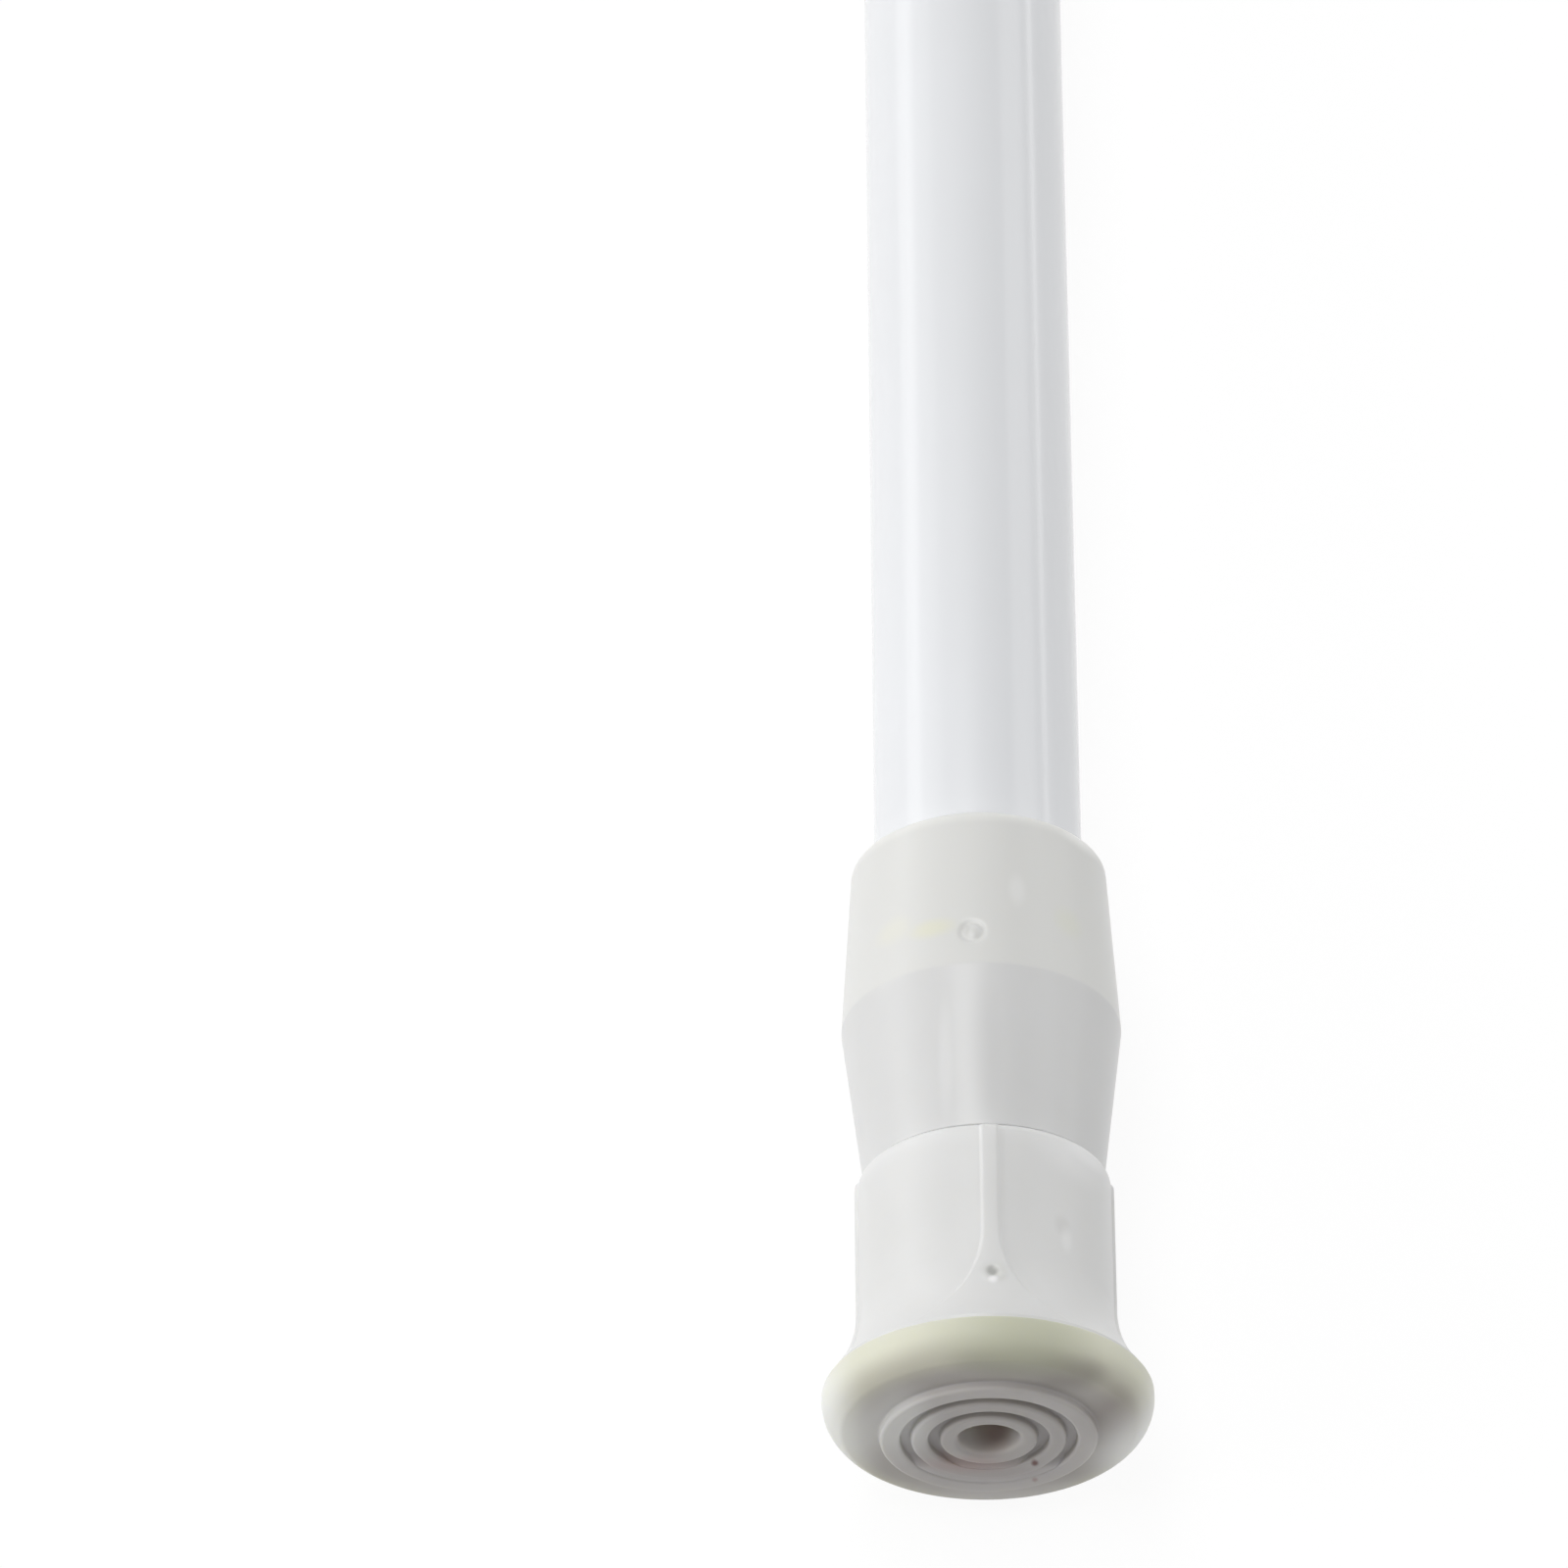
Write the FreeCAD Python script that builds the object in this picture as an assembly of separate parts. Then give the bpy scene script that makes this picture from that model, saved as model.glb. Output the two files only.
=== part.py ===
import FreeCAD, Part

import math
import os

# A telescopic spring tension rod, in millimetres, closed. It lies along X with +Z up. The fixed
# wall pad's face is at x = 0 and the sliding wall pad's face is at x = rod_length.

V = FreeCAD.Vector

# How far the rod pulls out, how much tube stays inside then, and the room left at the far end
pull_out = 900.0
overlap_open = 42.0
tail_room = 26.7

# The two steel tubes
inner_tube_r = 9.5
inner_tube_wall = 0.5
tube_gap = 0.9
outer_tube_wall = 0.6
crimp_depth = 0.6
crimp_width = 3.2

# Clearances
running_gap = 0.05
slide_gap = 0.3
glue_gap = 0.05

# How many cones stand for each moulded round, which keeps its facets few
round_bands = 4

# End caps: lengths run from the wall pad's face towards the middle of the rod
cap_length = 24.8
cap_mouth_gap = 0.9
cap_wall = 1.3
cap_lip = 0.9
cap_web = 2.0
cap_flare_rise = 3.4
cap_flare_length = 8.8
cap_rim_width = 0.5
cap_ribs = 8
cap_rib_width = 1.2
cap_rib_setback = 4.0
cap_fins = 4
cap_fin_height = 0.3
cap_fin_width = 2.0
cap_fan_width = 13.0
cap_fan_waist = 4.6
cap_fan_length = 12.4
cap_gate_r = 0.45
cap_gate_depth = 0.5
cap_gate_from_rim = 6.9

# Wall pads
pad_depth = 5.4
pad_overhang = 0.5
pad_rim_back = 0.7
pad_rim_round = 0.5
pad_side_width = 2.0
pad_face_fall = 0.2
pad_hole_r = 3.2
pad_ring_widths = (1.8, 1.8, 2.1)
pad_ring_height = 0.95
pad_groove_widths = (1.2, 1.1)
pad_level_width = 2.0
pad_hole_depth = 9.0
pad_stem_wall = 2.0
pad_barb = 0.8
pad_barb_length = 3.4
pad_fit_gap = 0.2

# Collar over the mouth of the outer tube
collar_length = 38.4
collar_end_gap = 0.1
collar_back_lip = 0.35
collar_shoulder = 2.5
collar_shoulder_length = 3.0
collar_shoulder_round = 1.4
collar_shoulder_drop = 0.55
collar_belly = 1.2
collar_cone_length = 17.4
collar_front_wall = 2.2
collar_lip = 0.2

# Liner bush in the collar
bush_length = 14.8
bush_wall = 0.8
bush_flange_length = 2.0
bush_end_play = 0.15

# Guide plug in the tail of the inner tube
guide_length = 20.0
guide_flange_length = 2.0
guide_chamfer = 0.6

# Spindle, its thread, washers, clip and nut
spring_travel = 30.0
expander_clearance = 4.0
hex_flats = 6.0
thread_r = 3.0
thread_chamfer = 0.6
thrust_washer_r = 6.5
thrust_washer_length = 1.2
nose_r = 2.5
nose_length = 5.6
washer_gap = 0.7
plunger_washer_length = 1.6
clip_length = 0.7
clip_width = 2.2
clip_groove_depth = 0.5
clip_mouth = 3.2
stop_nut_length = 4.0
stop_nut_flats = 10.0
thread_beyond_nut = 2.0

# Spring and the cup that it pushes on
spring_length = 52.0
spring_wire_r = 0.7
spring_wire_sides = 6
spring_gap = 1.2
spring_turns = 5.5
spring_end_gap = 0.1
seat_length = 3.0
seat_wall = 1.0
seat_hole_r = 4.5

# Expander: slotted collet and the cone nut drawn into it
collet_length = 26.0
collet_gap = 0.4
collet_hub_length = 6.0
collet_mouth_wall = 1.6
collet_root_wall = 4.5
collet_slots = 4
collet_slot_width = 1.6
collet_teeth = 3
collet_tooth_depth = 0.4
nut_length = 22.0
nut_draw = 3.0
nut_outside = 8.0
nut_side_gap = 0.1
nut_key_width = 1.2
nut_key_length = 10.0

# Radii that follow from the tubes
inner_bore_r = inner_tube_r - inner_tube_wall
outer_bore_r = inner_tube_r + tube_gap
outer_tube_r = outer_bore_r + outer_tube_wall
cap_bore_r = outer_tube_r + cap_mouth_gap
cap_sleeve_r = cap_bore_r + cap_wall
cap_fin_r = cap_sleeve_r + cap_fin_height
cap_flare_r = cap_sleeve_r + cap_flare_rise
pad_rim_r = cap_flare_r + pad_overhang
pad_stem_r = pad_hole_r + pad_stem_wall
collar_shoulder_r = outer_tube_r + collar_shoulder
collar_belly_r = collar_shoulder_r + collar_belly
collar_front_r = cap_sleeve_r - cap_lip + collar_lip
collar_core_r = inner_tube_r + 2 * running_gap + bush_wall
spring_coil_r = inner_bore_r - spring_gap - spring_wire_r
collet_r = outer_bore_r - collet_gap
collet_mouth_r = collet_r - collet_mouth_wall
collet_root_r = collet_r - collet_root_wall

# Places along the rod, from the fixed wall pad to the sliding one
cap_mouth_from_wall = pad_depth + cap_length
web_from_wall = pad_depth + cap_web
spindle_back = web_from_wall + tail_room
stop_nut_back = spindle_back + thread_beyond_nut
nut_back = stop_nut_back + stop_nut_length + slide_gap
collet_back = nut_back + nut_outside
collet_front = collet_back + collet_length
thrust_washer_back = collet_front + slide_gap
hex_back = thrust_washer_back + thrust_washer_length
guide_back = collet_front + spring_travel + expander_clearance
inner_tube_back = guide_back + guide_flange_length
guide_front = guide_back + guide_length
guide_crimp = (inner_tube_back + guide_front) / 2
hex_front = guide_front + slide_gap
washer_front = hex_front + plunger_washer_length
spring_back = washer_front + spring_end_gap
seat_back = spring_back + spring_length + spring_end_gap
seat_crimp = seat_back + seat_length + crimp_width / 2
outer_tube_front = inner_tube_back + overlap_open + pull_out
bush_back = outer_tube_front + bush_end_play
bush_front = bush_back + bush_length
collar_front = bush_front + bush_end_play + collar_front_wall
collar_back = collar_front - collar_length
rod_length = collar_front + collar_end_gap + cap_mouth_from_wall
inner_tube_front = rod_length - web_from_wall


def turned(*corners):
    """A solid of revolution about X from the corners of its half section, in (x, radius) points."""
    points = [V(x, 0, radius) for x, radius in corners]
    face = Part.Face(Part.makePolygon(points + points[:1]))
    return face.revolve(V(0, 0, 0), V(1, 0, 0), 360)


def rounded(level, sloping):
    """Points on the arc that starts along X at its level end, up to its sloping end."""
    run = sloping[0] - level[0]
    rise = sloping[1] - level[1]
    arc_r = (run * run + rise * rise) / (2 * abs(rise))
    sweep = math.atan2(abs(run), arc_r - abs(rise))
    points = []
    for i in range(1, round_bands + 1):
        angle = sweep * i / round_bands
        along = math.copysign(arc_r * math.sin(angle), run)
        up = math.copysign(arc_r * (1 - math.cos(angle)), rise)
        points.append((level[0] + along, level[1] + up))
    return points


def spun(shape, count, first=0.0):
    """Copies of a shape spread evenly about the X axis."""
    copies = []
    for i in range(count):
        copy = shape.copy()
        copy.rotate(V(0, 0, 0), V(1, 0, 0), first + 360.0 * i / count)
        copies.append(copy)
    return copies


def hexagon(flats, length, x):
    """A hexagonal bar along X, with a flat on top."""
    points = []
    for i in range(7):
        angle = math.radians(60 * i)
        corner = flats / math.sqrt(3)
        points.append(V(x, corner * math.cos(angle), corner * math.sin(angle)))
    return Part.Face(Part.makePolygon(points)).extrude(V(length, 0, 0))


def at_sliding_end(shape):
    """Turns an end's piece round to the sliding end, with its top still up."""
    shape.rotate(V(0, 0, 0), V(0, 0, 1), 180)
    shape.translate(V(rod_length, 0, 0))
    return shape


def crimp(x, radius):
    """Steps along a wall through one rolled crimp."""
    half = crimp_width / 2
    return ((x - half, radius), (x, radius - crimp_depth), (x + half, radius))


def outer_tube():
    return turned(
        (web_from_wall, outer_bore_r),
        (web_from_wall, outer_tube_r),
        (outer_tube_front, outer_tube_r),
        (outer_tube_front, outer_bore_r),
    )


def inner_tube():
    return turned(
        (inner_tube_back, inner_bore_r),
        (inner_tube_back, inner_tube_r),
        *crimp(guide_crimp, inner_tube_r),
        *crimp(seat_crimp, inner_tube_r),
        (inner_tube_front, inner_tube_r),
        (inner_tube_front, inner_bore_r),
        *reversed(crimp(seat_crimp, inner_bore_r)),
        *reversed(crimp(guide_crimp, inner_bore_r)),
    )


def cap_blank(sleeve_r):
    """The cap's outside as a solid, from the flare's face to the mouth."""
    rim_edge = (pad_depth + cap_rim_width, cap_flare_r)
    flare_start = (rim_edge[0] + cap_flare_length, sleeve_r)
    return turned(
        (pad_depth, 0),
        (cap_mouth_from_wall, 0),
        (cap_mouth_from_wall, sleeve_r - cap_lip),
        (cap_mouth_from_wall - cap_lip, sleeve_r),
        flare_start,
        *rounded(flare_start, rim_edge),
        (pad_depth, cap_flare_r),
    )


def cap_fin():
    """One raised fin on top of the sleeve, which fans out into the flare."""
    widths = [
        (pad_depth, cap_fan_width),
        (pad_depth + cap_gate_from_rim, cap_fan_waist),
        (pad_depth + cap_fan_length, cap_fin_width),
        (cap_mouth_from_wall, cap_fin_width),
    ]
    near_side = [V(x, -width / 2, 0) for x, width in widths]
    far_side = [V(x, width / 2, 0) for x, width in reversed(widths)]
    outline = Part.Face(Part.makePolygon(near_side + far_side + near_side[:1]))
    stretch = outline.extrude(V(0, 0, cap_flare_r))
    middle = Part.makeCylinder(cap_bore_r, cap_mouth_from_wall, V(0, 0, 0), V(1, 0, 0))
    return cap_blank(cap_fin_r).common(stretch).cut(middle)


def end_cap(tube_r):
    """A moulded cap: flared sleeve, web, fins outside, and ribs inside that grip the tube."""
    bore_length = cap_mouth_from_wall - web_from_wall
    rib_tip = tube_r + glue_gap
    bore = Part.makeCylinder(cap_bore_r, bore_length, V(web_from_wall, 0, 0), V(1, 0, 0))
    rib = Part.makeBox(
        bore_length - cap_rib_setback,
        cap_rib_width,
        cap_bore_r + glue_gap - rib_tip,
        V(web_from_wall, -cap_rib_width / 2, rib_tip),
    )
    cap = cap_blank(cap_sleeve_r).fuse(spun(cap_fin(), cap_fins))
    stem_hole = Part.makeCylinder(pad_stem_r + pad_fit_gap, web_from_wall, V(0, 0, 0), V(1, 0, 0))
    cap = cap.cut([bore, stem_hole, gate_mark()])
    return cap.fuse(spun(rib, cap_ribs, 180.0 / cap_ribs))


def gate_mark():
    """The dimple that the mould's gate leaves on the top fin."""
    top = V(pad_depth + cap_gate_from_rim, 0, cap_flare_r)
    column = Part.makeLine(V(top.x, 0, 0), top)
    height = cap_blank(cap_fin_r).common(column).BoundBox.ZMax
    return Part.makeCylinder(cap_gate_r, cap_flare_r, V(top.x, 0, height - cap_gate_depth), V(0, 0, 1))


def pad_face():
    """The pad's face from the centre hole outwards: raised rings, then a level stretch."""
    radius = pad_hole_r
    steps = []
    for width, beyond in zip(pad_ring_widths, pad_groove_widths + (pad_level_width,)):
        steps.append((0, radius))
        steps.append((0, radius + width))
        steps.append((pad_ring_height, radius + width))
        radius += width + beyond
        steps.append((pad_ring_height, radius))
    return steps


def wall_pad():
    """The soft pad: ringed face, rounded side and a hollow barbed stem behind."""
    barb_back = web_from_wall + pad_fit_gap
    face_edge = (pad_ring_height + pad_face_fall, pad_rim_r - pad_side_width)
    widest = (pad_depth - pad_rim_back, pad_rim_r)
    return turned(
        (pad_hole_depth, 0),
        (pad_hole_depth, pad_hole_r),
        *pad_face(),
        *reversed(rounded(widest, face_edge)),
        widest,
        (pad_depth - pad_rim_round, pad_rim_r),
        (pad_depth, pad_rim_r - pad_rim_round),
        (pad_depth, pad_stem_r),
        (barb_back, pad_stem_r),
        (barb_back, pad_stem_r + pad_barb),
        (barb_back + pad_barb_length, pad_stem_r - pad_fit_gap),
        (barb_back + pad_barb_length, 0),
    )


def collar():
    """The barrel collar: sloped shoulder, long cone, crease, shorter cone, front wall."""
    socket_r = outer_tube_r + glue_gap
    shoulder_end = (collar_back + collar_shoulder_length, collar_shoulder_r)
    round_start = (shoulder_end[0] - collar_shoulder_round, shoulder_end[1] - collar_shoulder_drop)
    step_x = bush_back + bush_flange_length + bush_end_play
    return turned(
        (collar_back, socket_r),
        (collar_back, socket_r + collar_back_lip),
        *reversed(rounded(shoulder_end, round_start)),
        shoulder_end,
        (shoulder_end[0] + collar_cone_length, collar_belly_r),
        (collar_front - collar_lip, collar_front_r),
        (collar_front, collar_front_r - collar_lip),
        (collar_front, inner_tube_r + slide_gap),
        (collar_front - collar_front_wall, inner_tube_r + slide_gap),
        (collar_front - collar_front_wall, collar_core_r),
        (step_x, collar_core_r),
        (step_x, socket_r),
    )


def guide_bush():
    """The flanged liner, trapped between the outer tube's mouth and a step in the collar."""
    bore_r = inner_tube_r + running_gap
    flange_front = bush_back + bush_flange_length
    return turned(
        (bush_back, bore_r),
        (bush_back, outer_tube_r - running_gap),
        (flange_front, outer_tube_r - running_gap),
        (flange_front, bore_r + bush_wall),
        (bush_front, bore_r + bush_wall),
        (bush_front, bore_r),
    )


def spindle_guide():
    """The plug in the inner tube's tail, held by a crimp, with a bore for the hexagon."""
    plug_r = inner_bore_r - glue_gap
    plug = turned(
        (guide_back, 0),
        (guide_back, inner_tube_r),
        (inner_tube_back, inner_tube_r),
        (inner_tube_back, plug_r),
        *crimp(guide_crimp, plug_r),
        (guide_front - guide_chamfer, plug_r),
        (guide_front, plug_r - guide_chamfer),
        (guide_front, 0),
    )
    return plug.cut(hexagon(hex_flats + 2 * running_gap, guide_length, guide_back))


def spindle():
    """Threaded tail, hexagon and turned nose with a groove for the clip."""
    groove_back = washer_front
    groove_front = groove_back + clip_length + 2 * running_gap
    tail = turned(
        (spindle_back, 0),
        (spindle_back, thread_r - thread_chamfer),
        (spindle_back + thread_chamfer, thread_r),
        (hex_back, thread_r),
        (hex_back, 0),
    )
    nose = turned(
        (hex_front, 0),
        (hex_front, nose_r),
        (groove_back, nose_r),
        (groove_back, nose_r - clip_groove_depth),
        (groove_front, nose_r - clip_groove_depth),
        (groove_front, nose_r),
        (hex_front + nose_length, nose_r),
        (hex_front + nose_length, 0),
    )
    return tail.fuse([hexagon(hex_flats, hex_front - hex_back, hex_back), nose]).removeSplitter()


def ring(back, length, inside_r, outside_r):
    """A plain washer."""
    return turned(
        (back, inside_r), (back, outside_r), (back + length, outside_r), (back + length, inside_r)
    )


def thrust_washer():
    return ring(thrust_washer_back, thrust_washer_length, thread_r + running_gap, thrust_washer_r)


def plunger_washer():
    return ring(hex_front, plunger_washer_length, nose_r + running_gap, inner_bore_r - washer_gap)


def retaining_clip():
    """An open ring in the nose's groove."""
    bore_r = nose_r - clip_groove_depth + running_gap
    clip = ring(washer_front + running_gap, clip_length, bore_r, bore_r + clip_width)
    mouth = Part.makeBox(nose_length, clip_mouth, nose_r + clip_width, V(washer_front, -clip_mouth / 2, 0))
    return clip.cut(mouth)


def stop_nut():
    nut = hexagon(stop_nut_flats, stop_nut_length, stop_nut_back)
    bore = Part.makeCylinder(
        thread_r + running_gap, stop_nut_length, V(stop_nut_back, 0, 0), V(1, 0, 0)
    )
    return nut.cut(bore)


def spring():
    """A compression spring between the plunger washer and the seat cup.

    Its wire has flat sides, so that its turns keep few facets.
    """
    height = spring_length - 2 * spring_wire_r
    path = Part.makeHelix(height / spring_turns, height, spring_coil_r)
    corners = []
    for i in range(spring_wire_sides + 1):
        angle = 2 * math.pi * (i + 0.5) / spring_wire_sides
        corners.append(
            V(spring_coil_r + spring_wire_r * math.cos(angle), 0, spring_wire_r * math.sin(angle))
        )
    coil = Part.Wire(path).makePipeShell([Part.makePolygon(corners)], True, True)
    coil.rotate(V(0, 0, 0), V(0, 1, 0), 90)
    coil.translate(V(spring_back + spring_wire_r, 0, 0))
    return coil


def spring_seat():
    """A pressed cup whose rim stands on the inner tube's second crimp."""
    cup_r = inner_bore_r - slide_gap
    seat_front = seat_back + seat_length
    return turned(
        (seat_back, seat_hole_r),
        (seat_back, cup_r),
        (seat_front, cup_r),
        (seat_front, cup_r - seat_wall),
        (seat_back + seat_wall, cup_r - seat_wall),
        (seat_back + seat_wall, seat_hole_r),
    )


def collet_cone_r(from_mouth):
    """Radius of the collet's inner cone at a depth from its mouth."""
    depth = collet_length - collet_hub_length
    return collet_mouth_r + (collet_root_r - collet_mouth_r) * from_mouth / depth


def expander_collet():
    """The slotted sleeve: a hub on the thread's neck and fingers with teeth outside."""
    hub_back = collet_front - collet_hub_length
    body = turned(
        (collet_back, collet_mouth_r),
        (collet_back, collet_r),
        (collet_front, collet_r),
        (collet_front, thread_r + running_gap),
        (hub_back, thread_r + running_gap),
        (hub_back, collet_root_r),
    )
    pitch = (collet_length - collet_hub_length) / (collet_teeth + 1)
    cuts = []
    for i in range(collet_teeth):
        x = collet_back + pitch * (i + 1)
        notch = turned(
            (x, collet_r - collet_tooth_depth),
            (x - collet_tooth_depth, collet_r + collet_tooth_depth),
            (x + pitch / 2, collet_r + collet_tooth_depth),
        )
        cuts.append(notch)
    slot = Part.makeBox(
        collet_length - collet_hub_length,
        collet_slot_width,
        collet_r,
        V(collet_back, -collet_slot_width / 2, thread_r),
    )
    return body.cut(cuts + spun(slot, collet_slots))


def cone_nut():
    """The keyed cone on the thread. Its cone is parallel to the collet's inner one."""
    depth = collet_length - collet_hub_length
    slope = (collet_mouth_r - collet_root_r) / depth
    side = nut_draw * slope + nut_side_gap
    nut_front = nut_back + nut_length
    cone = turned(
        (nut_back, thread_r + running_gap),
        (nut_back, collet_cone_r(-nut_outside) - side),
        (nut_front, collet_cone_r(nut_length - nut_outside) - side),
        (nut_front, thread_r + running_gap),
    )
    key_root = collet_cone_r(nut_key_length) - side - nut_side_gap
    key_height = collet_r - 2 * nut_side_gap - key_root
    corner = V(collet_back, -nut_key_width / 2, key_root)
    key = Part.makeBox(nut_key_length, nut_key_width, key_height, corner)
    return cone.fuse(spun(key, collet_slots)).removeSplitter()


def save(name, shape):
    if not shape.isValid():
        raise ValueError(name + " isn't a valid solid")
    if len(shape.Solids) != 1:
        raise ValueError(name + " isn't one solid")
    shape.Solids[0].exportStep("parts/" + name + ".step")


os.makedirs("parts", exist_ok=True)
save("outer_tube", outer_tube())
save("inner_tube", inner_tube())
save("end_cap_fixed", end_cap(outer_tube_r))
save("end_cap_sliding", at_sliding_end(end_cap(inner_tube_r)))
save("wall_pad_fixed", wall_pad())
save("wall_pad_sliding", at_sliding_end(wall_pad()))
save("collar", collar())
save("guide_bush", guide_bush())
save("spindle_guide", spindle_guide())
save("spindle", spindle())
save("thrust_washer", thrust_washer())
save("plunger_washer", plunger_washer())
save("retaining_clip", retaining_clip())
save("stop_nut", stop_nut())
save("spring", spring())
save("spring_seat", spring_seat())
save("expander_collet", expander_collet())
save("cone_nut", cone_nut())
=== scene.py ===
import math

import bmesh
import bpy
from mathutils import Matrix, Vector


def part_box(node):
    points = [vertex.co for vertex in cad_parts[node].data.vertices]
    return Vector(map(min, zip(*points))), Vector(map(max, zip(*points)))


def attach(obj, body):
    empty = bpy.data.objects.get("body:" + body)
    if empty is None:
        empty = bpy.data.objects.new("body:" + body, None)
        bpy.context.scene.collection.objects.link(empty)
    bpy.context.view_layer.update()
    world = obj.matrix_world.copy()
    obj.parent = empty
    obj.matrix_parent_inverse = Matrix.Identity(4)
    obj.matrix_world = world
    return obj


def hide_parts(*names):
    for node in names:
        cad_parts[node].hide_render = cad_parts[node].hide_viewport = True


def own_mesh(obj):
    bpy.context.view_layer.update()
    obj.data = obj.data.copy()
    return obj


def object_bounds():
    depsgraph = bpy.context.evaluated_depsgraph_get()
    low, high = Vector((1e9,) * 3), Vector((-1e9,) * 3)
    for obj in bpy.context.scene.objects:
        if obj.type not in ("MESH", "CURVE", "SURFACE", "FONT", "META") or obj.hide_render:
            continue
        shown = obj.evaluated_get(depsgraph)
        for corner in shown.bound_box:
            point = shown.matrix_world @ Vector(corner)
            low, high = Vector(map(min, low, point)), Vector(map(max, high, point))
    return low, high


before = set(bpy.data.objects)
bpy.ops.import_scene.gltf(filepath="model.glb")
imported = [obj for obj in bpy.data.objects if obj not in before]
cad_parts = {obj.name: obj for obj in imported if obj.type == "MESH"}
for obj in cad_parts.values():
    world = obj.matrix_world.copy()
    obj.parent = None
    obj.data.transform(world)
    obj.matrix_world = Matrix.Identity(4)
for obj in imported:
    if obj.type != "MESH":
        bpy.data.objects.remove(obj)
cad_low, cad_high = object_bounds()
scene = bpy.context.scene

# The rod lies closed, as it comes off a shelf. The camera looks down on its sliding end through a
# long lens, from above and a little to the left, so that the ringed pad and the barrel show.
camera_place = Vector((1.56646, -0.04059, 0.87837))
camera_ahead = Vector((-0.52753, 0.01936, -0.84931)).normalized()
camera_upright = Vector((-0.84952, -0.00598, 0.52753))
camera_lens = 222.6
camera_sensor = 36

camera = bpy.data.objects.new("camera", bpy.data.cameras.new("camera"))
camera_side = camera_ahead.cross(camera_upright).normalized()
camera_top = camera_side.cross(camera_ahead)
camera_turn = Matrix((camera_side, camera_top, -camera_ahead)).transposed().to_4x4()
camera.matrix_world = Matrix.Translation(camera_place) @ camera_turn
camera.data.lens = camera_lens
camera.data.sensor_width = camera_sensor
camera.data.clip_start = 0.01
scene.collection.objects.link(camera)
scene.camera = camera


# A white table in a light tent. An overhead cloth panel gives most of the light. Long windows on the
# left lay the soft bright band along the tube, and a low strip on the right lays the narrow one.
def put(tree, kind, inputs=None, **settings):
    """A new node, whose inputs are set to values or joined to the outputs of other nodes."""
    made = tree.nodes.new(kind)
    for name, value in settings.items():
        setattr(made, name, value)
    for name, value in (inputs or {}).items():
        if isinstance(value, bpy.types.NodeSocket):
            tree.links.new(value, made.inputs[name])
        else:
            made.inputs[name].default_value = value
    return made


def seen_directly(tree):
    """1 for rays from the camera, a mirror or a clear piece, and 0 for light on the object."""
    path = put(tree, "ShaderNodeLightPath")
    rays = [path.outputs[name] for name in ("Is Camera Ray", "Is Glossy Ray", "Is Transmission Ray")]
    first_two = put(tree, "ShaderNodeMath", {0: rays[0], 1: rays[1]}, operation="MAXIMUM")
    return put(tree, "ShaderNodeMath", {0: first_two.outputs[0], 1: rays[2]}, operation="MAXIMUM").outputs[0]


def softbox(name, place, target, size, power):
    """A rectangular light panel, long along the rod, that faces a point."""
    lamp = bpy.data.lights.new(name, "AREA")
    lamp.shape = "RECTANGLE"
    lamp.size, lamp.size_y = size
    lamp.energy = power
    panel = bpy.data.objects.new(name, lamp)
    ahead = (Vector(target) - Vector(place)).normalized()
    across = ahead.cross(Vector((1, 0, 0))).normalized()
    along = across.cross(ahead)
    panel.matrix_world = Matrix.Translation(place) @ Matrix((along, across, -ahead)).transposed().to_4x4()
    scene.collection.objects.link(panel)


near_end = (1.05, 0, 0)
middle_run = (0.9, 0, 0)
near_pad = (1.09, 0, 0)
softbox("overhead_panel", (0.9, -0.35, 1.4), near_end, (1.2, 0.5), 7.45)
softbox("back_panel", (-0.6, 0.0, 1.1), near_end, (0.8, 1.2), 0.95)
softbox("left_window", (0.5, -1.05, 0.62), middle_run, (2.2, 0.7), 2.1)
softbox("left_low_window", (0.5, -1.15, 0.28), middle_run, (2.2, 0.4), 2.8)
softbox("left_near_window", (1.25, -0.9, 0.3), near_pad, (0.6, 0.5), 2.6)
softbox("right_window", (0.5, 1.1, 0.8), middle_run, (2.2, 0.6), 3.7)
softbox("right_near_window", (1.25, 0.9, 0.3), near_pad, (0.6, 0.5), 0.3)
softbox("right_low_strip", (0.26, 1.1, 0.17), middle_run, (2.6, 0.12), 1.85)

tent_light = 0.345
tent = bpy.data.worlds.new("tent")
tent.use_nodes = True
tent_tree = tent.node_tree
tent_tree.nodes.clear()
tent_fill = put(tent_tree, "ShaderNodeBackground", {"Color": (0.99, 0.995, 1, 1), "Strength": tent_light})
tent_white = put(tent_tree, "ShaderNodeBackground", {"Color": (1, 1, 1, 1), "Strength": 1.0})
tent_mix = put(
    tent_tree,
    "ShaderNodeMixShader",
    {0: seen_directly(tent_tree), 1: tent_fill.outputs[0], 2: tent_white.outputs[0]},
)
put(tent_tree, "ShaderNodeOutputWorld", {"Surface": tent_mix.outputs[0]})
scene.world = tent
scene.view_settings.view_transform = "Standard"

table_half = 6.0
table_drop = 0.0004
table_tone = 0.86
table_glow = 0.86
table_glow_level = 1.05
table_level = cad_low[2] - table_drop
table_mesh = bpy.data.meshes.new("table")
table_corners = [(-1, -1), (1, -1), (1, 1), (-1, 1)]
table_mesh.from_pydata(
    [(x * table_half, y * table_half, table_level) for x, y in table_corners], [], [(0, 1, 2, 3)]
)
table = bpy.data.objects.new("table", table_mesh)
scene.collection.objects.link(table)
table_white = bpy.data.materials.new("table_white")
table_white.use_nodes = True
table_tree = table_white.node_tree
table_tree.nodes.clear()
table_matt = put(table_tree, "ShaderNodeBsdfDiffuse", {"Color": (table_tone, table_tone, table_tone, 1)})
table_shine = put(table_tree, "ShaderNodeEmission", {"Color": (1, 1, 1, 1), "Strength": table_glow_level})
table_seen = seen_directly(table_tree)
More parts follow.
